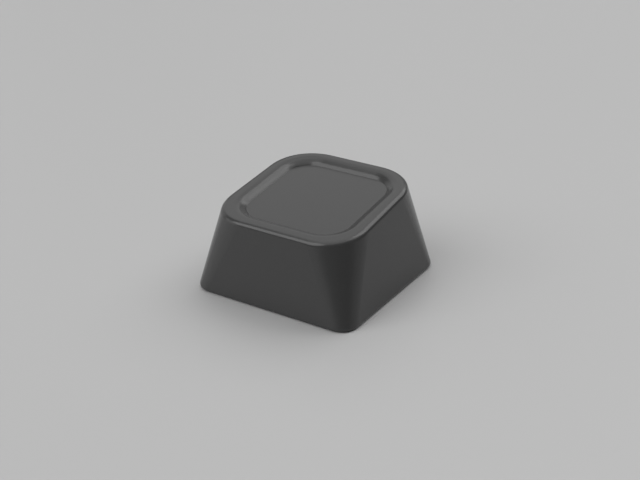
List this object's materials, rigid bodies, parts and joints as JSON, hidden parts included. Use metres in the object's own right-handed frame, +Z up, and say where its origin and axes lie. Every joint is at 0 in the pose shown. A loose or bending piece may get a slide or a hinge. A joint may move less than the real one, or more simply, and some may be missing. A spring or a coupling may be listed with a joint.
{
  "type": "keycap",
  "caption": "Hollow square keycap with tapered sides, a sloped top with a shallow sunk finger panel, and a round stem with a cross-shaped socket underneath.",
  "frame": {"origin": "middle of the bottom rim", "axes": "+Z up through the stem, -Y towards the typist, where the sloped top is lowest"},
  "size_m": [0.0182, 0.0182, 0.01],
  "materials": {
    "keycap": "fine matt moulded texture"
  },
  "bodies": {
    "root": {"keycap": "keycap"}
  },
  "joints": []
}
